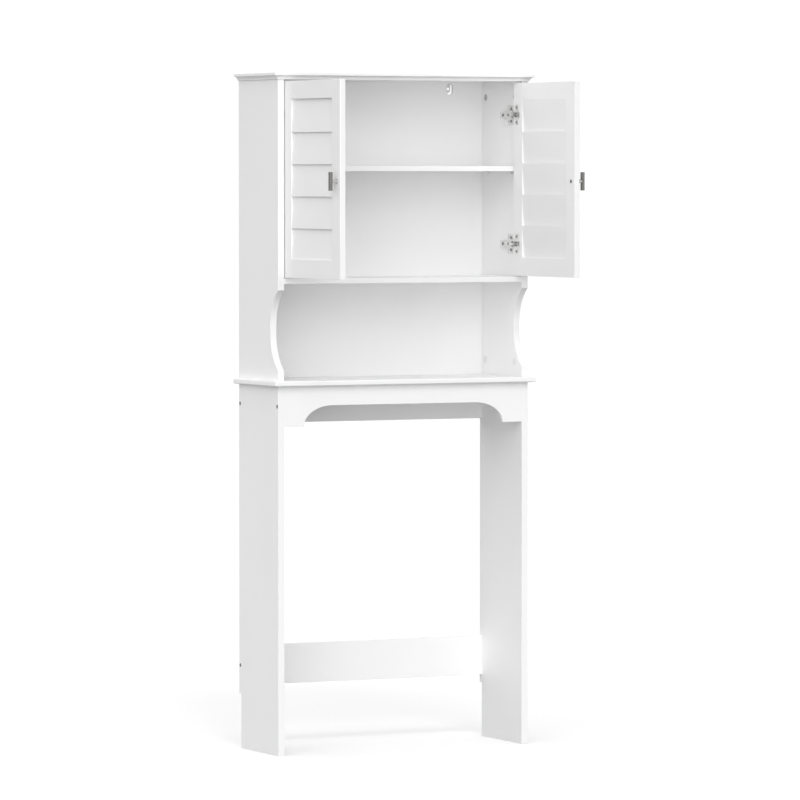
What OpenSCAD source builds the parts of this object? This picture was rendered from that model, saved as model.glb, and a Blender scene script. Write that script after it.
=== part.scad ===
// Over-the-toilet storage rack: a two-door louvred cabinet and an open niche
// standing on a table frame whose legs straddle a toilet.
// Millimetres, Z up. The front looks along -Y. The origin is on the floor,
// in the middle of the plan of the rack with both doors open.

/* [Body] */
// Height of the whole rack
overall_h = 1524; // [1440:1:1640]
// Width over the outer faces of the side panels
body_w = 626; // [560:1:700]
// Depth of the side panels
side_d = 211; // [190:1:260]
// Thickness of the side panels and the legs
side_t = 15; // [15:0.5:18]
// Thickness of the shelf, the floor, the tabletop and the rails
board_t = 12; // [12:0.5:15]
// Thickness of the back panel
back_t = 9; // [6:0.5:12]
// Distance from the back panel to the rear edges of the side panels
back_inset = 2; // [2:0.5:4]

/* [Top board] */
// Thickness of the top board with its crown
top_t = 15; // [15:0.5:20]
// Overhang of the top board at the front and the sides
top_overhang = 12; // [6:0.5:20]
// Height of the square upper edge of the top board
top_lip = 6; // [4:0.5:8]

/* [Levels] */
// Underside of the tabletop above the floor
table_z = 826; // [790:1:860]
// Overhang of the tabletop at the front and the sides
table_overhang = 14; // [8:0.5:24]
// Radius of the rounded edge of the tabletop
table_round = 3; // [1:0.5:5]
// Underside of the cabinet floor above the ground
floor_z = 1054; // [1046:1:1070]
// Underside of the adjustable shelf above the ground
shelf_z = 1305; // [1200:1:1400]
// Distance from the shelf to the front of the side panels
shelf_setback = 18; // [16:1:40]

/* [Scoops] */
// Lower end of the scoop in the front edge of each side panel
scoop_z0 = 861; // [856:1:880]
// Upper end of the scoop
scoop_z1 = 1040; // [1020:1:1044]
// Depth of the scoop
scoop_depth = 41; // [20:1:60]
// Length of the straight stretch in the middle of the scoop
scoop_straight = 18; // [0:1:40]

/* [Table frame] */
// Height of the apron, the rear rail and the lower stretcher
rail_h = 90; // [70:1:110]
// Underside of the lower stretcher above the floor
stretcher_z = 143; // [130:1:260]
// Width of each flat foot of the apron
apron_foot = 49; // [30:1:80]
// Width of the rounded corner of the arch
arch_run = 70; // [40:1:100]
// Height of the arch above the feet of the apron
arch_rise = 46; // [30:1:60]
// Depth of the skirting notch at the rear of each leg
notch_d = 11; // [6:1:16]
// Height of the skirting notch
notch_h = 124; // [80:1:128]

/* [Doors] */
// Angle by which the doors stand open
door_angle = 90; // [0:1:93]
// Thickness of a door
door_t = 13; // [13:0.5:16]
// Gap between a door and its side panel, and between the two doors
door_gap = 2; // [1.5:0.25:3]
// Gap below a door
door_gap_low = 2; // [1.5:0.5:4]
// Gap above a door
door_gap_high = 4; // [2:0.5:6]
// Width of the stiles
stile_w = 42; // [36:1:50]
// Height of the top rail of a door
door_rail_top = 40; // [30:1:50]
// Height of the bottom rail of a door
door_rail_low = 42; // [30:1:50]
// Thickness of a louvre slat
slat_t = 5; // [4:0.25:5]
// Set-back of a slat's lower edge from the outer face
slat_low_in = 2; // [1:0.25:2]
// Set-back of a slat's upper edge from the outer face
slat_high_in = 8; // [7.5:0.25:8]
// Depth of a slat's housing in each stile
slat_tenon = 4; // [2:0.5:6]

/* [Hinges] */
// Distance of each hinge from the end of the door
hinge_inset = 72; // [60:1:100]
// Distance of the plate screws from the front edge of the side panel
hinge_y = 50; // [48:0.5:54]
// Spacing of the two screws of a mounting plate
plate_screws = 28; // [26:1:34]
// Spacing of the two screws of a hinge cup
cup_screws = 34; // [33:1:40]

/* [Handles] */
// Length of the handle bar
bar_h = 41; // [30:1:60]
// Width of the handle bar
bar_w = 10; // [8:0.5:12]
// Thickness of the handle bar
bar_t = 6; // [5:0.5:8]
// Distance from the door to the outer face of the bar
bar_out = 18.5; // [16:0.5:30]
// Distance of the handle from the free edge of the door
handle_in = 16; // [12:0.5:26]
// Distance of the handle below the middle of the door
handle_drop = 4; // [0:0.5:20]

/* [Wall fixing] */
// Spacing of the two wall plates
wall_spacing = 430; // [380:1:500]
// Diameter of the screw hole in each wall plate
wall_hole_d = 6; // [5:0.25:6.5]

/* [Hidden] */

$fn = 48;
slat_count = 5;
// Overlap that joins two cuts into one
cut_lap = 0.01;
// How far a cut starts outside the piece, and how much deeper a bore is than what sits in it
past = 1;
spare = 0.5;

// Colours
white = "#f3f3f1";
steel = "#b9bcc0";
nickel = "#6f7072";
beech = "#d9b98a";

// Plan of the body
inner_w = body_w - 2 * side_t;
half_w = inner_w / 2;
door_w = (inner_w - 3 * door_gap) / 2;

// Hinge pin, from the hinged edge and from the outer face of the door
pin_u = 6;
pin_v = 5.4;
pin_r = 0.8;
pin_len = 12.8;
pin_play = 0.05;

// Front plane of the side panels: the open doors and the body share the origin
front_y = (door_w - pin_u - pin_v - side_d) / 2;
back_y = front_y + side_d;
back_face_y = back_y - back_inset - back_t;
groove_d = 4;

// Levels
top_z = overall_h - top_t;
table_top_z = table_z + board_t;
floor_top_z = floor_z + board_t;
rail_z = table_z - rail_h;
door_z0 = floor_top_z + door_gap_low;
door_h = top_z - door_gap_high - door_z0;
shelf_play = 1;

// Cams of the vertical panels: distances from the front plane and from the edge
side_cams_y = [36, 182];
leg_cams_y = [58, 162];
cam_inset = 34;
cam_r = 7.5;
cam_h = 11.5;
// Cross recess of a cam: length, width and depth
cam_cross = [8, 1.4, 0.75];
bolt_r = 3.4;
bolt_neck_r = 1.8;
bolt_bite = 8;
bore_play = 0.1;
// Room round the neck of a bolt, and how much smaller its ball and larger its seat are than its shank
neck_play = 0.4;
ball_play = [0.4, 0.5];
// Caps over the cams: thickness and rim
cap_t = 0.8;
cap_rim = 1;

// Cams of the cabinet floor
floor_cams_y = [50, 150];
floor_cam_in = 24;
floor_cam_r = 6;
floor_cam_h = 8.5;
floor_bolt_r = 2.4;
floor_bolt_bite = 9;
floor_bolt_tip = 2;
// Driving slot of a floor cam: length, width and twice its depth
floor_cam_slot = [6, 1.2, 2];

// Dowels
side_dowels_y = [76, 146];
leg_dowels_y = [94, 126];
dowel_r = 4;
dowel_in = 18;
dowel_out = 7.5;
rail_dowel_r = 3;
rail_dowel_dz = 28;
rail_dowel_in = 15;
rail_dowel_out = 9.5;

// Rail screws
screw_head_r = 4.5;
screw_head_h = 3.5;
screw_shank_r = 2.5;
screw_len = 50;
socket_r = 2.3;
socket_depth = 2.5;

// Shelf pins
shelf_pins_y = [45, 165];
shelf_pin_r = 2.5;
shelf_pin_in = 8;
shelf_pin_out = 8;

// Hinge: cup, seen from the hinged edge of the door
cup_u = 16.5;
cup_r = 13;
cup_depth = 10.5;
cup_wall = 0.7;
cup_mouth = 11;
cup_floor = 0.5;
flange_t = 1;
flange_r = 15;
flange_h = 46;
flange_half = 8;
flange_u0 = 3;
cup_screw_r = 1.6;
cup_screw_len = 9;
cup_head_r = 3.2;
cup_head_h = 1.3;

// Hinge: arm and plate, from the inner face of the side panel and its front edge
arm_half = 7;
nose_half = 2.5;
eye_r = 1.5;
nose_y = [4.5, 6.3];
leg_x = [18.6, 21.6];
web_x = [7.2, 9.2];
arm_end_y = 92;
ramp_y = [22.6, 31.8];
// How much later the outer outline of the arm bends at each end of its ramp
ramp_lag = [1.4, 2.2];
end_slot = [5, 3.6];
arm_wide_y = 16;
plate_t = 2;
plate_h = 44;
plate_strip = [30, 8];
// Wings of the plate, in front of and behind its screws
wing_y = [-6.5, 17.5];
spare_hole_y = 11.5;
spare_hole_r = 2.3;
boss_half = 4.5;
boss_y = [38, 90];
flank_y = 36;
flank_x = 3;
flank_half = 1;
adjusters_y = [50, 76];
adjuster_r = 2;
adjuster_x = 3;
adjuster_head = [3.5, 1.5];
// Slot of an adjuster: depth, length and width
adjuster_slot = [1.4, 5, 0.9];
small_screw_r = 1.75;
plate_screw_in = 11;
small_head_r = 3.6;
small_head_h = 1.6;

// Handle
post_r = 4;
foot_r = 5.5;
foot_h = 2;
handle_screw_r = 2;
handle_bite = 3;
handle_head = [4, 2.2];

// Wall plates
wall_oval = [16, 26];
wall_hole_drop = 15;
strap_w = 11;
strap_drop = 24;
strap_rise = 12;
strap_screw_rise = 6.5;
strap_screw_len = 17;
strap_head_r = 3.4;
strap_head_h = 1.7;

// ---------- helpers ----------

// Box between two corners
module block(a, b) {
    translate(a) cube(b - a);
}

// Outline in Y and Z drawn out along X
module along_x(x0, x1) {
    translate([x0, 0, 0]) rotate([90, 0, 90]) linear_extrude(x1 - x0) children();
}

// Outline in X and Z drawn out along Y
module along_y(y0, y1) {
    translate([0, y1, 0]) rotate([90, 0, 0]) linear_extrude(y1 - y0) children();
}

// Round bars along each axis, starting at p
module bar_x(p, r, len) {
    translate(p) rotate([0, 90, 0]) cylinder(r = r, h = len);
}
module bar_y(p, r, len) {
    translate(p) rotate([-90, 0, 0]) cylinder(r = r, h = len);
}
module bar_z(p, r, len) {
    translate(p) cylinder(r = r, h = len);
}

// Cone along Y that widens from r1 at p to r2
module cone_y(p, r1, r2, len) {
    translate(p) rotate([-90, 0, 0]) cylinder(r1 = r1, r2 = r2, h = len);
}

// The same piece on the left and on the right
module both_sides() {
    children();
    mirror([1, 0, 0]) children();
}

// Rounded edge of a board of thickness t that starts at 0 and is len wide
module nosed_board(len, t, r, both) {
    right = both ? r : 0;
    translate([r, 0]) square([len - r - right, t]);
    translate([0, r]) square([len, t - 2 * r]);
    for (z = [r, t - r]) {
        translate([r, z]) circle(r);
        if (both) translate([len - r, z]) circle(r);
    }
}

// Long slot through a panel, in X and Z
module oval(size) {
    r = size[0] / 2;
    square([size[0], size[1] - size[0]], center = true);
    for (s = [-1, 1]) translate([0, s * (size[1] / 2 - r)]) circle(r);
}

// ---------- top board, panels and boards ----------

module top_board() {
    cove = top_t - top_lip;
    half = body_w / 2 + top_overhang;
    y0 = front_y - top_overhang;
    color(white) difference() {
        intersection() {
            along_x(-half, half) difference() {
                translate([y0, top_z]) square([back_y - y0, top_t]);
                translate([y0, top_z]) circle(cove);
            }
            along_y(y0, back_y) difference() {
                translate([-half, top_z]) square([2 * half, top_t]);
                for (s = [-1, 1]) translate([s * half, top_z]) circle(cove);
            }
        }
        both_sides() {
            for (y = side_cams_y)
                bar_z([half_w + cam_r, front_y + y, top_z - past], bolt_r + bore_play, bolt_bite + past);
            for (y = side_dowels_y)
                bar_z([half_w + cam_r, front_y + y, top_z - past], dowel_r + bore_play, dowel_out + past + spare);
            translate([wall_spacing / 2, back_y, top_z]) {
                block([-strap_w / 2 - bore_play, -back_inset, -past],
                    [strap_w / 2 + bore_play, past, strap_rise + bore_play]);
                bar_y([0, -strap_screw_len - spare, strap_screw_rise], small_screw_r + bore_play,
                    strap_screw_len);
            }
        }
    }
}

// Outline of an upper side panel in Y and Z, with its scooped front edge
module side_outline() {
    low_z = scoop_z0 + (scoop_z1 - scoop_z0 - scoop_straight) / 2;
    high_z = low_z + scoop_straight;
    low_r = ((low_z - scoop_z0) ^ 2 + scoop_depth ^ 2) / (2 * scoop_depth);
    high_r = ((scoop_z1 - high_z) ^ 2 + scoop_depth ^ 2) / (2 * scoop_depth);
    difference() {
        translate([front_y, table_top_z]) square([side_d, top_z - table_top_z]);
        translate([front_y + scoop_depth - low_r, low_z]) circle(low_r);
        translate([front_y + scoop_depth - high_r, high_z]) circle(high_r);
        translate([front_y - past, low_z]) square([scoop_depth + past, scoop_straight]);
    }
}

// Bores in the inner face and the end of a panel for cams, bolts and dowels.
// edge_z is the end of the panel and dir points out of it.
module end_joint_bores(edge_z, dir, cams, dowels) {
    x = half_w + cam_r;
    for (y = cams) {
        z = edge_z - dir * cam_inset;
        bar_x([half_w - past, front_y + y, z], cam_r + bore_play, cam_h + past + spare);
        bar_z([x, front_y + y, min(z, edge_z + dir)], bolt_r + bore_play, cam_inset + past);
    }
    for (y = dowels)
        bar_z([x, front_y + y, min(edge_z - dir * (dowel_in + spare), edge_z + dir)],
            dowel_r + bore_play, dowel_in + past + spare);
}

module right_side_panel() {
    color(white) difference() {
        along_x(half_w, half_w + side_t) side_outline();
        block([half_w - past, back_face_y, table_top_z - past],
            [half_w + groove_d, back_face_y + back_t, top_z + past]);
        end_joint_bores(top_z, 1, side_cams_y, side_dowels_y);
        end_joint_bores(table_top_z, -1, side_cams_y, side_dowels_y);
        for (y = floor_cams_y)
            bar_x([half_w - past, front_y + y, floor_z + board_t / 2],
                floor_bolt_r + bore_play, floor_bolt_bite + past + spare);
        for (y = shelf_pins_y)
            bar_x([half_w - past, front_y + y, shelf_z - shelf_pin_r], shelf_pin_r + bore_play,
                shelf_pin_in + past + spare);
        for (h = hinge_levels(), s = [-1, 1])
            bar_x([half_w - past, front_y + hinge_y, h + s * plate_screws / 2],
                small_screw_r + bore_play, plate_screw_in + past + 2 * spare);
    }
}

module left_side() mirror([1, 0, 0]) right_side_panel();
module right_side() right_side_panel();

module back_panel() {
    color(white) difference() {
        block([-half_w - groove_d, back_face_y, table_top_z],
            [half_w + groove_d, back_face_y + back_t, top_z]);
        for (s = [-1, 1]) translate([s * wall_spacing / 2, 0, top_z - wall_hole_drop])
            along_y(back_face_y - past, back_y) oval(wall_oval);
    }
}

module cabinet_floor() {
    color(white) difference() {
        block([-half_w, front_y, floor_z], [half_w, back_face_y, floor_top_z]);
        both_sides() for (y = floor_cams_y) {
            bar_z([half_w - floor_cam_in, front_y + y, floor_z - past],
                floor_cam_r + bore_play, floor_cam_h + past + spare);
            bar_x([half_w - floor_cam_in, front_y + y, floor_z + board_t / 2],
                floor_bolt_r + bore_play, floor_cam_in + past);
        }
    }
}

module shelf() {
    color(white) block([-half_w + shelf_play, front_y + shelf_setback, shelf_z],
        [half_w - shelf_play, back_face_y - shelf_play, shelf_z + board_t]);
}

module shelf_pins() {
    color(white) both_sides() for (y = shelf_pins_y)
        bar_x([half_w - shelf_pin_out, front_y + y, shelf_z - shelf_pin_r], shelf_pin_r,
            shelf_pin_in + shelf_pin_out);
}

module tabletop() {
    half = body_w / 2 + table_overhang;
    y0 = front_y - table_overhang;
    color(white) difference() {
        intersection() {
            along_x(-half, half) translate([y0, table_z])
                nosed_board(back_y - y0, board_t, table_round, false);
            along_y(y0, back_y) translate([-half, table_z])
                nosed_board(2 * half, board_t, table_round, true);
        }
        both_sides() {
            x = half_w + cam_r;
            for (y = side_cams_y)
                bar_z([x, front_y + y, table_top_z - bolt_bite - spare], bolt_r + bore_play,
                    bolt_bite + past + spare);
            for (y = side_dowels_y)
                bar_z([x, front_y + y, table_top_z - dowel_out - spare], dowel_r + bore_play,
                    dowel_out + past + spare);
            for (y = leg_cams_y)
                bar_z([x, front_y + y, table_z - past], bolt_r + bore_play, bolt_bite + past + spare);
            for (y = leg_dowels_y)
                bar_z([x, front_y + y, table_z - past], dowel_r + bore_play, dowel_out + past + spare);
        }
    }
}

// ---------- table frame ----------

// Centre of each rail's end at the inner face of the right leg
function rail_ends() = [
    [half_w, front_y + board_t / 2, rail_z + rail_h / 2],
    [half_w, back_y - board_t / 2, rail_z + rail_h / 2],
    [half_w, back_y - board_t / 2, stretcher_z + rail_h / 2]];

// Bores for one rail end: the screw and two dowels
module rail_end_bores(p) {
    bar_x(p - [screw_len, 0, 0], screw_shank_r + bore_play, screw_len + side_t + past);
    for (s = [-1, 1])
        bar_x(p + [-rail_dowel_in - spare, 0, s * rail_dowel_dz], rail_dowel_r + bore_play,
            rail_dowel_in + rail_dowel_out + past);
}

module right_leg_panel() {
    color(white) difference() {
        block([half_w, front_y, 0], [half_w + side_t, back_y, table_z]);
        block([half_w - past, back_y - notch_d, -past], [half_w + side_t + past, back_y + past, notch_h]);
        end_joint_bores(table_z, 1, leg_cams_y, leg_dowels_y);
        for (p = rail_ends()) {
            rail_end_bores(p);
            bar_x(p + [side_t - screw_head_h, 0, 0], screw_head_r + bore_play, screw_head_h + past);
        }
    }
}

module left_leg() mirror([1, 0, 0]) right_leg_panel();
module right_leg() right_leg_panel();

// Points of the arch in the apron, from the right foot to the left foot
function arch_corner(a) = [half_w - apron_foot - arch_run * (1 - cos(a)), arch_rise * sin(a)];
function arch_points(n) = concat(
    [for (i = [0:n]) arch_corner(90 * i / n)],
    [for (i = [n:-1:0]) let (p = arch_corner(90 * i / n)) [-p[0], p[1]]]);

module apron() {
    foot_x = half_w - apron_foot;
    color(white) difference() {
        block([-half_w, front_y, rail_z], [half_w, front_y + board_t, table_z]);
        along_y(front_y - past, front_y + board_t + past) translate([0, rail_z]) {
            polygon(arch_points(16));
            translate([-foot_x, -1]) square([2 * foot_x, 1 + cut_lap]);
        }
        both_sides() rail_end_bores(rail_ends()[0]);
    }
}

module rear_board(z0, end) {
    color(white) difference() {
        block([-half_w, back_y - board_t, z0], [half_w, back_y, z0 + rail_h]);
        both_sides() rail_end_bores(end);
    }
}

module rear_rail() rear_board(rail_z, rail_ends()[1]);
module lower_stretcher() rear_board(stretcher_z, rail_ends()[2]);

// ---------- fasteners of the body ----------

module rail_screws() {
    color(steel) both_sides() for (p = rail_ends()) difference() {
        union() {
            bar_x(p + [side_t - screw_len, 0, 0], screw_shank_r, screw_len);
            bar_x(p + [side_t - screw_head_h, 0, 0], screw_head_r, screw_head_h);
        }
        translate(p + [side_t - socket_depth, 0, 0]) rotate([0, 90, 0])
            cylinder(r = socket_r, h = socket_depth + past, $fn = 6);
    }
}

// One cam with its cross recess and the slot that takes the bolt's head
module cam(p, dir) {
    difference() {
        bar_x(p, cam_r, cam_h);
        translate(p + [cam_r, 0, 0]) {
            translate([0, 0, dir > 0 ? 0 : -cam_r - past])
                cylinder(r = bolt_neck_r + neck_play, h = cam_r + past);
            sphere(bolt_r + ball_play[1]);
        }
        for (turn = [0, 90]) translate(p) rotate([turn, 0, 0])
            cube([2 * cam_cross[2], cam_cross[0], cam_cross[1]], center = true);
    }
}

// One cam bolt: ball head inside the cam, neck, shank and screwed end
module cam_bolt(p, dir) {
    translate(p) mirror([0, 0, dir > 0 ? 0 : 1]) {
        sphere(bolt_r - ball_play[0]);
        cylinder(r = bolt_neck_r, h = cam_r + past);
        translate([0, 0, cam_r + spare])
            cylinder(r = bolt_r, h = cam_inset - cam_r - spare + bolt_bite);
    }
}

// Cam positions: [distance from the front, level, direction of the bolt]
function cam_places() = concat(
    [for (y = side_cams_y) [y, top_z - cam_inset, 1]],
    [for (y = side_cams_y) [y, table_top_z + cam_inset, -1]],
    [for (y = leg_cams_y) [y, table_z - cam_inset, 1]]);

module cam_locks() {
    color(steel) both_sides() for (c = cam_places())
        cam([half_w, front_y + c[0], c[1]], c[2]);
}

module cam_bolts() {
    color(steel) both_sides() for (c = cam_places())
        cam_bolt([half_w + cam_r, front_y + c[0], c[1]], c[2]);
}

// Caps over the cams that show in the open niche
module cam_caps() {
    color(white) both_sides() for (y = side_cams_y)
        bar_x([half_w - cap_t, front_y + y, table_top_z + cam_inset], cam_r + cap_rim, cap_t);
}

module floor_cams() {
    color(steel) both_sides() for (y = floor_cams_y) difference() {
        bar_z([half_w - floor_cam_in, front_y + y, floor_z], floor_cam_r, floor_cam_h);
        bar_x([half_w - floor_cam_in - floor_bolt_tip - past, front_y + y, floor_z + board_t / 2],
            floor_bolt_r + bore_play, floor_cam_in);
        translate([half_w - floor_cam_in, front_y + y, floor_z]) cube(floor_cam_slot, center = true);
    }
}

module floor_cam_bolts() {
    color(steel) both_sides() for (y = floor_cams_y)
        bar_x([half_w - floor_cam_in - floor_bolt_tip, front_y + y, floor_z + board_t / 2],
            floor_bolt_r, floor_cam_in + floor_bolt_tip + floor_bolt_bite);
}

module panel_dowels() {
    x = half_w + cam_r;
    len = dowel_in + dowel_out;
    color(beech) both_sides() {
        for (y = side_dowels_y) {
            bar_z([x, front_y + y, top_z - dowel_in], dowel_r, len);
            bar_z([x, front_y + y, table_top_z - dowel_out], dowel_r, len);
        }
        for (y = leg_dowels_y) bar_z([x, front_y + y, table_z - dowel_in], dowel_r, len);
    }
}

module rail_dowels() {
    color(beech) both_sides() for (p = rail_ends(), s = [-1, 1])
        bar_x(p + [-rail_dowel_in, 0, s * rail_dowel_dz], rail_dowel_r,
            rail_dowel_in + rail_dowel_out);
}

// Straps let into the rear edge of the top board; each hangs down behind an opening
module wall_plates() {
    color(steel) both_sides() translate([wall_spacing / 2, back_y, top_z]) difference() {
        along_y(-back_inset, 0) {
            translate([-strap_w / 2, strap_w / 2 - strap_drop])
                square([strap_w, strap_drop + strap_rise - strap_w]);
            for (z = [strap_w / 2 - strap_drop, strap_rise - strap_w / 2])
                translate([0, z]) circle(strap_w / 2);
        }
        bar_y([0, -back_inset - past, -wall_hole_drop], wall_hole_d / 2, back_inset + 2 * past);
        bar_y([0, -back_inset - past, strap_screw_rise], small_screw_r + bore_play, back_inset + 2 * past);
        cone_y([0, -strap_head_h, strap_screw_rise], small_screw_r + bore_play,
            strap_head_r + bore_play, strap_head_h);
    }
}

module wall_plate_screws() {
    color(steel) both_sides() translate([wall_spacing / 2, back_y, top_z + strap_screw_rise]) {
        bar_y([0, -strap_screw_len, 0], small_screw_r, strap_screw_len - strap_head_h + cut_lap);
        cone_y([0, -strap_head_h, 0], small_screw_r, strap_head_r, strap_head_h);
    }
}

// ---------- hinges, body side (drawn on the left) ----------

function hinge_levels() = [door_z0 + hinge_inset, door_z0 + door_h - hinge_inset];

// Children placed at each left hinge, at the inner face and the front plane
module at_left_hinges() {
    for (h = hinge_levels()) translate([-half_w, front_y, h]) children();
}

module hinge_plate() {
    difference() {
        union() {
            block([0, plate_strip[0], -plate_strip[1]], [plate_t, arm_end_y, plate_strip[1]]);
            block([0, hinge_y + wing_y[0], -plate_h / 2], [plate_t, hinge_y + wing_y[1], plate_h / 2]);
            block([0, boss_y[0], -boss_half], [web_x[0], boss_y[1], boss_half]);
        }
        for (s = [-1, 1]) {
            bar_x([-past, hinge_y, s * plate_screws / 2], small_screw_r + bore_play, plate_t + 2 * past);
            bar_x([-past, hinge_y + spare_hole_y, s * plate_screws / 2], spare_hole_r, plate_t + 2 * past);
        }
        for (y = adjusters_y)
            bar_x([adjuster_x - spare, y, 0], adjuster_r + bore_play, web_x[0] - adjuster_x + past + spare);
    }
}

// Cranked arm, drawn in X and Y, ending in the eye that turns on the pin
module arm_outline() {
    eye = [door_gap + pin_u, pin_v];
    polygon([[eye[0], nose_y[0]], [leg_x[1], nose_y[0]], [leg_x[1], ramp_y[0] + ramp_lag[0]],
        [web_x[1], ramp_y[1] + ramp_lag[1]], [web_x[1], arm_end_y], [web_x[0], arm_end_y],
        [web_x[0], ramp_y[1]], [leg_x[0], ramp_y[0]], [leg_x[0], nose_y[1]], [eye[0], nose_y[1]]]);
    translate(eye) circle(eye_r);
}

module hinge_arm() {
    difference() {
        union() {
            translate([0, 0, -nose_half]) linear_extrude(2 * nose_half) arm_outline();
            translate([0, 0, -arm_half]) linear_extrude(2 * arm_half) intersection() {
                arm_outline();
                translate([0, arm_wide_y]) square(arm_end_y);
            }
            for (s = [-1, 1]) translate([0, 0, s * (arm_half - flank_half)])
                block([flank_x, flank_y, -flank_half], [web_x[0] + past, arm_end_y, flank_half]);
        }
        bar_z([door_gap + pin_u, pin_v, -arm_half], pin_r + pin_play, 2 * arm_half);
        for (y = adjusters_y) bar_x([web_x[0] - past, y, 0], adjuster_r + bore_play,
            web_x[1] - web_x[0] + 2 * past);
        block([web_x[0] - past, arm_end_y - end_slot[0], -end_slot[1] / 2],
            [web_x[1] + past, arm_end_y + past, end_slot[1] / 2]);
    }
}

module left_hinge_plates() color(steel) at_left_hinges() hinge_plate();
module right_hinge_plates() mirror([1, 0, 0]) left_hinge_plates();
module left_hinge_arms() color(steel) at_left_hinges() hinge_arm();
module right_hinge_arms() mirror([1, 0, 0]) left_hinge_arms();

module hinge_plate_screws() {
    color(steel) both_sides() at_left_hinges() for (s = [-1, 1]) {
        bar_x([plate_t, hinge_y, s * plate_screws / 2], small_head_r, small_head_h);
        bar_x([-plate_screw_in, hinge_y, s * plate_screws / 2], small_screw_r,
            plate_screw_in + plate_t + small_head_h / 2);
    }
}

module hinge_adjusters() {
    color(steel) both_sides() at_left_hinges() for (y = adjusters_y) difference() {
        union() {
            bar_x([web_x[1], y, 0], adjuster_head[0], adjuster_head[1]);
            bar_x([adjuster_x, y, 0], adjuster_r, web_x[1] - adjuster_x + 1);
        }
        translate([web_x[1] + adjuster_head[1], y, 0]) cube(adjuster_slot, center = true);
    }
}

// ---------- doors (drawn closed on the left, from the hinged edge) ----------

// Door space: X from the hinged edge, Y from the outer face, Z from the bottom
module door_space() {
    translate([-half_w + door_gap + pin_u, front_y + pin_v, door_z0]) rotate([0, 0, -door_angle])
        translate([-pin_u, -pin_v, 0]) children();
}

module right_door_space() mirror([1, 0, 0]) door_space() children();

// Levels of the hinges above the bottom of the door
function cup_levels() = [hinge_inset, door_h - hinge_inset];

slat_pitch = (door_h - door_rail_top - door_rail_low) / slat_count;
slat_lap = 3;
stile_round = 2;
handle_z = door_h / 2 - handle_drop;

// Slat number n, counted from the bottom: its foot stands proud of its head
module slat(n) {
    slope = (slat_high_in - slat_low_in) / slat_pitch;
    lap = n > 1 ? slat_lap : 0;
    z0 = door_rail_low + (n - 1) * slat_pitch;
    foot = slat_low_in - slope * lap;
    color(white) along_x(stile_w - slat_tenon, door_w - stile_w + slat_tenon)
        polygon([[foot, z0 - lap], [foot + slat_t, z0 - lap],
            [slat_high_in + slat_t, z0 + slat_pitch], [slat_high_in, z0 + slat_pitch]]);
}

// Plan of a stile with its outer arris rounded on the hinged side
module stile_plan() {
    r = stile_round;
    translate([r, 0]) square([stile_w - r, door_t]);
    translate([0, r]) square([stile_w, door_t - r]);
    translate([r, r]) circle(r);
}

module hinge_stile() {
    color(white) difference() {
        linear_extrude(door_h) stile_plan();
        for (n = [1:slat_count]) slat(n);
        for (h = cup_levels()) {
            bar_y([cup_u, door_t - cup_depth, h], cup_r, cup_depth + past);
            for (s = [-1, 1]) bar_y([cup_u, door_t - cup_screw_len, h + s * cup_screws / 2],
                cup_screw_r, cup_screw_len + past);
        }
    }
}

module free_stile() {
    color(white) difference() {
        translate([door_w, 0, 0]) mirror([1, 0, 0]) linear_extrude(door_h) stile_plan();
        for (n = [1:slat_count]) slat(n);
        bar_y([door_w - handle_in, -past, handle_z], handle_screw_r + bore_play, door_t + 2 * past);
    }
}

module door_rail(z0, h) {
    color(white) block([stile_w, 0, z0], [door_w - stile_w, door_t, z0 + h]);
}

// Cup sunk in the inner face, with its flange and the bores for the pin
module hinge_cup() {
    color(steel) difference() {
        union() {
            bar_y([cup_u, door_t - cup_depth, 0], cup_r, cup_depth + flange_t);
            translate([0, door_t, 0]) intersection() {
                union() {
                    bar_y([cup_u, 0, 0], flange_r, flange_t);
                    block([cup_u - flange_half, 0, -flange_h / 2],
                        [cup_u + flange_half, flange_t, flange_h / 2]);
                }
                block([flange_u0, 0, -flange_h], [cup_u + flange_h, flange_t, flange_h]);
            }
        }
        intersection() {
            bar_y([cup_u, door_t - cup_depth + cup_floor, 0], cup_r - cup_wall, cup_depth + flange_t);
            block([0, 0, -cup_mouth / 2], [2 * cup_u, door_t + cup_depth, cup_mouth / 2]);
        }
        bar_z([pin_u, pin_v, -pin_len / 2], pin_r, pin_len);
        for (s = [-1, 1])
            bar_y([cup_u, door_t - past, s * cup_screws / 2], cup_screw_r, flange_t + 2 * past);
    }
}

module hinge_cups() for (h = cup_levels()) translate([0, 0, h]) hinge_cup();

module hinge_pins() {
    color(steel) for (h = cup_levels()) bar_z([pin_u, pin_v, h - pin_len / 2], pin_r, pin_len);
}

module cup_screw_set() {
    color(steel) for (h = cup_levels(), s = [-1, 1]) {
        bar_y([cup_u, door_t + flange_t, h + s * cup_screws / 2], cup_head_r, cup_head_h);
        bar_y([cup_u, door_t - cup_screw_len + 0.5, h + s * cup_screws / 2], cup_screw_r,
            cup_screw_len + flange_t);
    }
}

module door_handle() {
    x = door_w - handle_in;
    back = bar_t - bar_out;
    color(nickel) difference() {
        block([x - bar_w / 2, -bar_out, handle_z - bar_h / 2],
            [x + bar_w / 2, back, handle_z + bar_h / 2]);
        bar_y([x, back - handle_bite - spare, handle_z], handle_screw_r, handle_bite + past + spare);
    }
}

// Sleeve with a wider foot, between the bar and the door
module door_handle_post() {
    x = door_w - handle_in;
    color(steel) difference() {
        union() {
            bar_y([x, bar_t - bar_out, handle_z], post_r, bar_out - bar_t);
            bar_y([x, -foot_h, handle_z], foot_r, foot_h);
        }
        bar_y([x, -bar_out, handle_z], handle_screw_r + bore_play, bar_out + past);
    }
}

module door_handle_screw() {
    x = door_w - handle_in;
    tip = bar_t - bar_out - handle_bite;
    color(steel) {
        bar_y([x, tip, handle_z], handle_screw_r, door_t - tip + 1);
        bar_y([x, door_t, handle_z], handle_head[0], handle_head[1]);
    }
}

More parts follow.
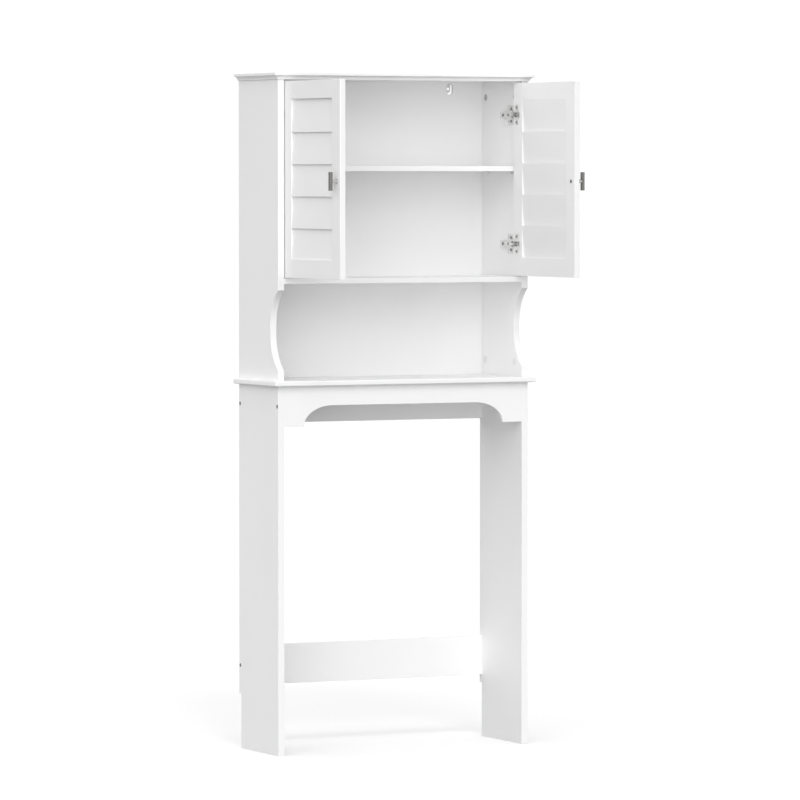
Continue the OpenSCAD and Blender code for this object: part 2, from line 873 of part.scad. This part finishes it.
module left_hinge_stile() door_space() hinge_stile();
module left_free_stile() door_space() free_stile();
module left_top_rail() door_space() door_rail(door_h - door_rail_top, door_rail_top);
module left_bottom_rail() door_space() door_rail(0, door_rail_low);
module left_slat(n) door_space() slat(n);
module left_hinge_cups() door_space() hinge_cups();
module left_hinge_pins() door_space() hinge_pins();
module left_cup_screws() door_space() cup_screw_set();
module left_handle() door_space() door_handle();
module left_handle_post() door_space() door_handle_post();
module left_handle_screw() door_space() door_handle_screw();

module right_hinge_stile() right_door_space() hinge_stile();
module right_free_stile() right_door_space() free_stile();
module right_top_rail() right_door_space() door_rail(door_h - door_rail_top, door_rail_top);
module right_bottom_rail() right_door_space() door_rail(0, door_rail_low);
module right_slat(n) right_door_space() slat(n);
module right_hinge_cups() right_door_space() hinge_cups();
module right_hinge_pins() right_door_space() hinge_pins();
module right_cup_screws() right_door_space() cup_screw_set();
module right_handle() right_door_space() door_handle();
module right_handle_post() right_door_space() door_handle_post();
module right_handle_screw() right_door_space() door_handle_screw();

top_board();
left_side();
right_side();
back_panel();
cabinet_floor();
shelf();
shelf_pins();
tabletop();
left_leg();
right_leg();
apron();
rear_rail();
lower_stretcher();
rail_screws();
cam_locks();
cam_bolts();
cam_caps();
floor_cams();
floor_cam_bolts();
panel_dowels();
rail_dowels();
wall_plates();
wall_plate_screws();
left_hinge_plates();
right_hinge_plates();
left_hinge_arms();
right_hinge_arms();
hinge_plate_screws();
hinge_adjusters();
left_hinge_stile();
left_free_stile();
left_top_rail();
left_bottom_rail();
left_slat(1);  // left_slat_1
left_slat(2);  // left_slat_2
left_slat(3);  // left_slat_3
left_slat(4);  // left_slat_4
left_slat(5);  // left_slat_5
left_hinge_cups();
left_hinge_pins();
left_cup_screws();
left_handle();
left_handle_post();
left_handle_screw();
right_hinge_stile();
right_free_stile();
right_top_rail();
right_bottom_rail();
right_slat(1);  // right_slat_1
right_slat(2);  // right_slat_2
right_slat(3);  // right_slat_3
right_slat(4);  // right_slat_4
right_slat(5);  // right_slat_5
right_hinge_cups();
right_hinge_pins();
right_cup_screws();
right_handle();
right_handle_post();
right_handle_screw();
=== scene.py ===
"""Looks of the over-the-toilet storage rack: lacquered boards, louvred doors, concealed
hinges, bar handles and cross-head screws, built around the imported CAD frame."""
import bpy
import bmesh
import math
from mathutils import Matrix, Vector


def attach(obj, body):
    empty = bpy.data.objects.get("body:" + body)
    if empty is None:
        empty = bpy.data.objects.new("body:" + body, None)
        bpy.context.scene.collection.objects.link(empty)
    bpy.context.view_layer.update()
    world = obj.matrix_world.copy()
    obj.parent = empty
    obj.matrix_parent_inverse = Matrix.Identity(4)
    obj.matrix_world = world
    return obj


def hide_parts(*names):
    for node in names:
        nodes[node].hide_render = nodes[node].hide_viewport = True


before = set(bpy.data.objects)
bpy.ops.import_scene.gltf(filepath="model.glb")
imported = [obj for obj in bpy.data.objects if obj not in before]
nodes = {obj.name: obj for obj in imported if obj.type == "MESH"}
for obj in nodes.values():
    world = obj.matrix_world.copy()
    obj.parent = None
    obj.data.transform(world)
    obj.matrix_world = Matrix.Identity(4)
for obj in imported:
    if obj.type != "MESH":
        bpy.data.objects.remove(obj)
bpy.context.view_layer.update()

# ---------- camera ----------

CAMERA_PLACE = (-5.423, -10.982, 1.293)
CAMERA_TURN = (87.657, 0.0, -26.16)
CAMERA_LENS = 245.7
SENSOR = 36.0

# ---------- light ----------

# Ambient light: power from below, power from the sides, the heights of the direction between
# which one turns into the other, and the heights over which it loses power overhead
LIGHT_LOW = 0.18
LIGHT_HIGH = 1.12
LIGHT_RISE = (-0.1, 0.5)
OVERHEAD = (0.5, 1.0)
OVERHEAD_LOSS = -0.5
# Soft light in front and to the left: direction, cosines where it starts and is full, power
FRONT = (-0.56, -0.825, 0.08)
FRONT_SPREAD = (0.55, 1.0)
FRONT_POWER = 1.42
# White that the camera sees behind the object, and the glow that brings the floor up to it
BACKGROUND = 1.05
FLOOR_GLOW = 0.1
FLOOR_HALF = 22.0
FLOOR_CELLS = 12
# High, weak key light, in degrees
KEY_TURN = (42.0, 0.0, -14.0)
KEY_POWER = 0.35
KEY_ANGLE = 12.0

# ---------- paint and metal colours ----------

WHITE = (0.94, 0.94, 0.94)
SCREW_TINT = 0.34
POST_TINT = 0.66
PLATE_TINT = 0.88

# ---------- edges ----------

# Radii of the softened edges, and the angles above which an edge is rounded
# and below which two facets are one face
BOARD_EDGE = 0.0006
SLAT_EDGE = 0.0003
HANDLE_EDGE = 0.0008
HARD_EDGE = 0.00025
SHARP_ANGLE = math.radians(32.0)
FLAT_ANGLE = math.radians(0.3)
WELD_GAP = 2e-6


# ---------- node helpers ----------

class Shader:
    """A Principled material with short calls for the nodes that feed it."""

    def __init__(self, name, colour, metallic=0.0, roughness=0.5):
        self.material = bpy.data.materials.new(name)
        self.material.use_nodes = True
        self.tree = self.material.node_tree
        self.bsdf = self.tree.nodes["Principled BSDF"]
        self.bsdf.inputs["Base Color"].default_value = (*colour, 1.0)
        self.bsdf.inputs["Metallic"].default_value = metallic
        self.bsdf.inputs["Roughness"].default_value = roughness
        self.place = self.add("ShaderNodeTexCoord").outputs["Object"]

    def add(self, kind, **inputs):
        node = self.tree.nodes.new(kind)
        for key, value in inputs.items():
            socket = node.inputs[key.replace("_", " ")]
            if isinstance(value, bpy.types.NodeSocket):
                self.tree.links.new(value, socket)
            else:
                socket.default_value = value
        return node

    def stretched(self, scale):
        return self.add("ShaderNodeMapping", Vector=self.place, Scale=scale).outputs["Vector"]

    def noise(self, scale, detail=2.0, place=None, distortion=0.0):
        return self.add("ShaderNodeTexNoise", Vector=place or self.place, Scale=scale,
                        Detail=detail, Distortion=distortion).outputs["Fac"]

    def blend_colour(self, factor, low, high, start=0.3, end=0.7):
        ramp = self.tree.nodes.new("ShaderNodeValToRGB")
        self.tree.links.new(factor, ramp.inputs["Fac"])
        for stop, where, colour in zip(ramp.color_ramp.elements, (start, end), (low, high)):
            stop.position = where
            stop.color = (*colour, 1.0)
        self.tree.links.new(ramp.outputs["Color"], self.bsdf.inputs["Base Color"])

    def vary_roughness(self, factor, low, high):
        spread = self.add("ShaderNodeMapRange", Value=factor, From_Min=0.3, From_Max=0.7,
                          To_Min=low, To_Max=high)
        self.tree.links.new(spread.outputs["Result"], self.bsdf.inputs["Roughness"])

    def bump(self, height, distance, strength=1.0, below=None):
        node = self.add("ShaderNodeBump", Height=height, Distance=distance, Strength=strength)
        if below is not None:
            self.tree.links.new(below, node.inputs["Normal"])
        self.tree.links.new(node.outputs["Normal"], self.bsdf.inputs["Normal"])
        return node.outputs["Normal"]


def shade(colour, factor):
    return tuple(c * factor for c in colour)


# ---------- materials ----------

def lacquer():
    """Satin white lacquer on board: faint clouding, orange peel and dust nibs."""
    s = Shader("white_lacquer", WHITE)
    s.blend_colour(s.noise(7.0, 3.0), shade(WHITE, 0.985), WHITE)
    s.vary_roughness(s.noise(24.0, 3.0), 0.42, 0.54)
    peel = s.bump(s.noise(480.0, 1.5), 0.00004, 0.55)
    s.bump(s.noise(2900.0, 1.0), 0.00001, 0.3, peel)
    return s.material


def plated_steel(name, tint):
    """Nickel plate with fine drawing lines and slight mottling."""
    s = Shader(name, shade((0.89, 0.89, 0.88), tint), 1.0, 0.28)
    s.blend_colour(s.noise(160.0, 3.0), shade((0.85, 0.85, 0.84), tint),
                   shade((0.92, 0.92, 0.91), tint))
    s.vary_roughness(s.noise(420.0, 2.0), 0.24, 0.4)
    s.bump(s.noise(1.0, 2.0, s.stretched((2600.0, 500.0, 2600.0))), 0.00001, 0.4)
    return s.material


def dark_nickel():
    """Dark nickel, brushed along the bar."""
    s = Shader("dark_nickel", (0.3, 0.29, 0.28), 1.0, 0.36)
    lines = s.noise(1.0, 3.0, s.stretched((5200.0, 5200.0, 90.0)))
    s.blend_colour(lines, (0.2, 0.195, 0.19), (0.36, 0.35, 0.34))
    s.vary_roughness(lines, 0.28, 0.44)
    s.bump(lines, 0.00002, 0.5)
    return s.material


def zinc():
    """Die-cast zinc of the cam locks, with a grainy skin."""
    s = Shader("zinc", (0.55, 0.56, 0.57), 1.0, 0.5)
    s.blend_colour(s.noise(300.0, 4.0), (0.45, 0.455, 0.46), (0.62, 0.625, 0.63))
    s.vary_roughness(s.noise(700.0, 2.0), 0.42, 0.6)
    s.bump(s.noise(1800.0, 3.0), 0.00003, 0.6)
    return s.material


def beech():
    """Beech of the dowels: growth lines and short dark flecks."""
    s = Shader("beech", (0.58, 0.4, 0.24), 0.0, 0.62)
    grain = s.noise(1.0, 4.0, s.stretched((700.0, 700.0, 60.0)), 0.6)
    s.blend_colour(grain, (0.42, 0.27, 0.15), (0.63, 0.45, 0.28))
    s.vary_roughness(grain, 0.55, 0.72)
    s.bump(grain, 0.00006, 0.6)
    return s.material


def moulded_cap():
    """White moulded plastic of the cam caps, spark-eroded texture."""
    s = Shader("moulded_cap", (0.84, 0.84, 0.83), 0.0, 0.5)
    s.blend_colour(s.noise(60.0, 2.0), (0.82, 0.82, 0.81), (0.85, 0.85, 0.84))
    s.vary_roughness(s.noise(900.0, 2.0), 0.44, 0.58)
    s.bump(s.noise(2200.0, 2.0), 0.00003, 0.7)
    return s.material


def studio_floor():
    """Pale matt floor with the faintest clouding."""
    s = Shader("studio_floor", (0.93, 0.93, 0.93), 0.0, 0.9)
    s.blend_colour(s.noise(0.6, 2.0), (0.925, 0.925, 0.925), (0.935, 0.935, 0.935))
    s.bsdf.inputs["Specular IOR Level"].default_value = 0.1
    s.bsdf.inputs["Emission Color"].default_value = (1, 1, 1, 1)
    s.bsdf.inputs["Emission Strength"].default_value = FLOOR_GLOW
    return s.material


BOARDS = [
    "top_board", "left_side", "right_side", "back_panel", "cabinet_floor", "shelf",
    "tabletop", "left_leg", "right_leg", "apron", "rear_rail", "lower_stretcher",
]
DOOR_BOARDS = ["hinge_stile", "free_stile", "top_rail", "bottom_rail"]
DOOR_BOARDS += [f"slat_{n}" for n in range(1, 6)]
SIDES = ("left", "right")


def give(names, material):
    for name in names:
        obj = nodes[name]
        obj.data.materials.clear()
        obj.data.materials.append(material)


def soften(names, width, segments=2, flatten=True):
    """Rounds the edges of CAD nodes: weld, merge flat facets, bevel, then even out the normals.
    flatten=False keeps the facets, for the stiles, whose slat housings leave concave faces."""
    for name in names:
        obj = nodes[name]
        weld = obj.modifiers.new("weld", "WELD")
        weld.merge_threshold = WELD_GAP
        if flatten:
            flat = obj.modifiers.new("flat", "DECIMATE")
            flat.decimate_type = "DISSOLVE"
            flat.angle_limit = FLAT_ANGLE
        bevel = obj.modifiers.new("bevel", "BEVEL")
        bevel.width = width
        bevel.segments = segments
        bevel.limit_method = "ANGLE"
        bevel.angle_limit = SHARP_ANGLE
        bevel.loop_slide = False
        bevel.use_clamp_overlap = False
        if flatten:
            normals = obj.modifiers.new("normals", "WEIGHTED_NORMAL")
            normals.keep_sharp = False


boards = BOARDS + [f"{s}_{p}" for s in SIDES for p in DOOR_BOARDS]
screw_steel = plated_steel("screw_steel", SCREW_TINT)
steel_parts = ["wall_plates", "wall_plate_screws", "hinge_plate_screws", "cam_bolts",
               "floor_cam_bolts"]
for side in SIDES:
    steel_parts += [f"{side}_hinge_plates", f"{side}_hinge_arms", f"{side}_hinge_cups",
                    f"{side}_hinge_pins", f"{side}_cup_screws", f"{side}_handle_screw"]
give(boards, lacquer())
give(steel_parts, plated_steel("plated_steel", PLATE_TINT))
give(["rail_screws", "hinge_adjusters"], screw_steel)
give([f"{s}_handle_post" for s in SIDES], plated_steel("post_steel", POST_TINT))
give([f"{s}_handle" for s in SIDES], dark_nickel())
give(["cam_locks", "floor_cams"], zinc())
give(["panel_dowels", "rail_dowels"], beech())
give(["cam_caps", "shelf_pins"], moulded_cap())
stiles = [name for name in boards if name.endswith("_stile")]
slats = [name for name in boards if "_slat_" in name]
soften([name for name in boards if name not in stiles + slats], BOARD_EDGE)
soften(slats, SLAT_EDGE)
soften(stiles, BOARD_EDGE, flatten=False)
soften([f"{s}_handle" for s in SIDES], HANDLE_EDGE, 3)
soften(["hinge_adjusters", "rail_screws", "wall_plates", "cam_caps", "shelf_pins", "cam_locks"],
       HARD_EDGE)
pressed_parts = ("hinge_plates", "hinge_arms", "hinge_cups", "handle_post")
soften([f"{s}_{p}" for s in SIDES for p in pressed_parts], HARD_EDGE)


# ---------- screws ----------

# Cross recess: half length, half width and depth as shares of the head's radius, and how
# much of its length and width is left at the bottom
RECESS = (0.52, 0.13, 0.34)
RECESS_TAPER = 0.62
THREAD_PITCH = 0.0013
THREAD_DEPTH = 0.00035
TIP = 0.0022
TIP_SHARE = 0.2
ROUND = 32
# How near a point lies to the end of a screw to count as part of it
SAME = 1e-6
# Outline of a pan head, as shares of its radius and height, and the flat top of a countersunk
# head: its share of the radius and the height of its rim
PAN = ((0.62, 0.0), (0.84, 0.12), (0.96, 0.38), (1.0, 0.7), (1.0, 1.0))
COUNTERSUNK_RIM = (0.94, 0.0002)
# Heights of the heads, as in the CAD, and the turn of each cross from one screw to the next
PLATE_HEAD = 0.0016
STRAP_HEAD = 0.0017
CUP_HEAD = 0.0013
HANDLE_HEAD = 0.0022
FIRST_TURN = 0.6
NEXT_TURN = 1.3


def solids(node):
    """Lowest and highest corners of each separate solid of a CAD node."""
    mesh = nodes[node].data
    spots = [tuple(round(c, 6) for c in v.co) for v in mesh.vertices]
    root = {spot: spot for spot in spots}

    def find(spot):
        while root[spot] != spot:
            root[spot] = root[root[spot]]
            spot = root[spot]
        return spot

    for face in mesh.polygons:
        first = find(spots[face.vertices[0]])
        for v in face.vertices[1:]:
            root[find(spots[v])] = first
    groups = {}
    for spot in root:
        groups.setdefault(find(spot), []).append(Vector(spot))
    found = []
    for points in groups.values():
        low = Vector(min(p[k] for p in points) for k in range(3))
        high = Vector(max(p[k] for p in points) for k in range(3))
        found.append((low, high, points))
    return sorted(found, key=lambda solid: tuple(solid[0]))


def ring(bm, radius, z, place):
    steps = [2 * math.pi * i / ROUND for i in range(ROUND)]
    return [bm.verts.new(place @ Vector((radius * math.cos(a), radius * math.sin(a), z)))
            for a in steps]


def bridge(bm, upper, lower):
    for i, _ in enumerate(upper):
        j = (i + 1) % len(upper)
        bm.faces.new((upper[i], lower[i], lower[j], upper[j]))


def cross(bm, size, z, place, turn):
    """Outline of a cross recess with its arms size[0] long and size[1] wide from the middle."""
    long, wide = size
    arm = [(long, -wide), (long, wide), (wide, wide)]
    points = []
    for quarter in range(4):
        spin = Matrix.Rotation(turn + quarter * math.pi / 2, 3, "Z")
        points += [spin @ Vector((x, y, 0)) for x, y in arm]
    return [bm.verts.new(place @ Vector((p.x, p.y, z))) for p in points]


def add_screw(bm, place, head, shank, countersunk, turn):
    """A cross-head screw along -Z of place, with the top of its head at the origin.
    head and shank are (radius, length)."""
    radius, depth = head
    if countersunk:
        share, rim = COUNTERSUNK_RIM
        profile = [(radius * share, 0.0), (radius, -rim)]
    else:
        profile = [(radius * share, -depth * down) for share, down in PAN]
    profile += [(shank[0], -depth)]
    z = -depth - THREAD_PITCH / 2
    while z > TIP - shank[1]:
        profile += [(shank[0], z), (shank[0] - THREAD_DEPTH, z - THREAD_PITCH / 2)]
        z -= THREAD_PITCH
    profile += [(shank[0] * TIP_SHARE, -shank[1])]
    rings = [ring(bm, r, height, place) for r, height in profile]
    for upper, lower in zip(rings, rings[1:]):
        bridge(bm, upper, lower)
    bm.faces.new(list(reversed(rings[-1])))
    long, wide, deep = (radius * share for share in RECESS)
    top = cross(bm, (long, wide), 0.0, place, turn)
    foot = cross(bm, (long * RECESS_TAPER, wide * RECESS_TAPER), -deep, place, turn)
    bridge(bm, list(reversed(top)), list(reversed(foot)))
    bm.faces.new(foot)
    rims = []
    for loop in (rings[0], top):
        rims += [bm.edges.get((loop[i - 1], loop[i])) for i in range(len(loop))]
    bmesh.ops.triangle_fill(bm, use_beauty=True, edges=rims)


def detail_screws(node, body, depth, material, countersunk=False):
    """Replaces a CAD node of plain screws with cross-head screws in the same places."""
    bm = bmesh.new()
    for number, (low, high, points) in enumerate(solids(node)):
        size = high - low
        axis = max(range(3), key=lambda k: size[k])
        middle = (low + high) / 2
        across = [k for k in range(3) if k != axis]

        def reach(p):
            return max(abs(p[k] - middle[k]) for k in across)

        radius = max(size[k] for k in across) / 2
        ends = [max(reach(p) for p in points if abs(p[axis] - end[axis]) < SAME)
                for end in (low, high)]
        sign = 1 if ends[1] > ends[0] else -1
        out = Vector((0, 0, 0))
        out[axis] = sign
        top = middle.copy()
        top[axis] = (high if sign > 0 else low)[axis]
        shank = min(ends)
        place = Matrix.Translation(top) @ out.to_track_quat("Z", "Y").to_matrix().to_4x4()
        add_screw(bm, place, (radius, depth), (shank, size[axis]), countersunk,
                  FIRST_TURN + NEXT_TURN * number)
    bmesh.ops.recalc_face_normals(bm, faces=bm.faces)
    mesh = bpy.data.meshes.new(node + "_detail")
    bm.to_mesh(mesh)
    bm.free()
    piece = bpy.data.objects.new(node + "_detail", mesh)
    bpy.context.scene.collection.objects.link(piece)
    mesh.materials.append(material)
    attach(piece, body)
    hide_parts(node)


detail_screws("hinge_plate_screws", "cabinet", PLATE_HEAD, screw_steel)
detail_screws("wall_plate_screws", "cabinet", STRAP_HEAD, screw_steel, True)
for side in SIDES:
    detail_screws(f"{side}_cup_screws", f"{side}_door", CUP_HEAD, screw_steel)
    detail_screws(f"{side}_handle_screw", f"{side}_door", HANDLE_HEAD, screw_steel)


# ---------- stage ----------

def make_floor():
    mesh = bpy.data.meshes.new("floor")
    bm = bmesh.new()
    bmesh.ops.create_grid(bm, x_segments=FLOOR_CELLS, y_segments=FLOOR_CELLS, size=FLOOR_HALF)
    bm.to_mesh(mesh)
    bm.free()
    floor = bpy.data.objects.new("floor", mesh)
    bpy.context.scene.collection.objects.link(floor)
    mesh.materials.append(studio_floor())
    floor.visible_diffuse = False


def make_key():
    light = bpy.data.lights.new("key", "SUN")
    light.energy = KEY_POWER
    light.angle = math.radians(KEY_ANGLE)
    lamp = bpy.data.objects.new("key", light)
    lamp.rotation_euler = [math.radians(a) for a in KEY_TURN]
    bpy.context.scene.collection.objects.link(lamp)


def spread(tree, value, start, end, low, high):
    """Smooth step from low to high while the value goes from start to end."""
    node = tree.nodes.new("ShaderNodeMapRange")
    node.interpolation_type = "SMOOTHSTEP"
    tree.links.new(value, node.inputs["Value"])
    for name, number in zip(("From Min", "From Max", "To Min", "To Max"), (start, end, low, high)):
        node.inputs[name].default_value = number
    return node.outputs["Result"]


def add_up(tree, first, second):
    node = tree.nodes.new("ShaderNodeMath")
    node.operation = "ADD"
    tree.links.new(first, node.inputs[0])
    tree.links.new(second, node.inputs[1])
    return node.outputs[0]


def make_world():
    """Soft light from the sides and in front, and a plain white background behind the object."""
    world = bpy.data.worlds.new("studio")
    bpy.context.scene.world = world
    world.use_nodes = True
    tree = world.node_tree
    way = tree.nodes.new("ShaderNodeTexCoord").outputs["Generated"]
    apart = tree.nodes.new("ShaderNodeSeparateXYZ")
    tree.links.new(way, apart.inputs[0])
    rise = spread(tree, apart.outputs["Z"], *LIGHT_RISE, LIGHT_LOW, LIGHT_HIGH)
    facing = tree.nodes.new("ShaderNodeVectorMath")
    facing.operation = "DOT_PRODUCT"
    tree.links.new(way, facing.inputs[0])
    facing.inputs[1].default_value = FRONT
    front = spread(tree, facing.outputs["Value"], *FRONT_SPREAD, 0.0, FRONT_POWER)
    overhead = spread(tree, apart.outputs["Z"], *OVERHEAD, 0.0, OVERHEAD_LOSS)
    power = add_up(tree, add_up(tree, rise, front), overhead)
    lit = tree.nodes.new("ShaderNodeBackground")
    lit.inputs["Color"].default_value = (1, 1, 1, 1)
    tree.links.new(power, lit.inputs["Strength"])
    seen = tree.nodes["Background"]
    seen.inputs["Color"].default_value = (1, 1, 1, 1)
    seen.inputs["Strength"].default_value = BACKGROUND
    rays = tree.nodes.new("ShaderNodeLightPath")
    mix = tree.nodes.new("ShaderNodeMixShader")
    tree.links.new(rays.outputs["Is Camera Ray"], mix.inputs["Fac"])
    tree.links.new(lit.outputs[0], mix.inputs[1])
    tree.links.new(seen.outputs[0], mix.inputs[2])
    tree.links.new(mix.outputs[0], tree.nodes["World Output"].inputs["Surface"])


def make_camera():
    data = bpy.data.cameras.new("camera")
    data.lens = CAMERA_LENS
    data.sensor_width = SENSOR
    data.clip_end = 100.0
    camera = bpy.data.objects.new("camera", data)
    camera.location = CAMERA_PLACE
    camera.rotation_euler = [math.radians(a) for a in CAMERA_TURN]
    bpy.context.scene.collection.objects.link(camera)
    bpy.context.scene.camera = camera


make_floor()
make_key()
make_world()
make_camera()
bpy.context.scene.view_settings.view_transform = "Standard"
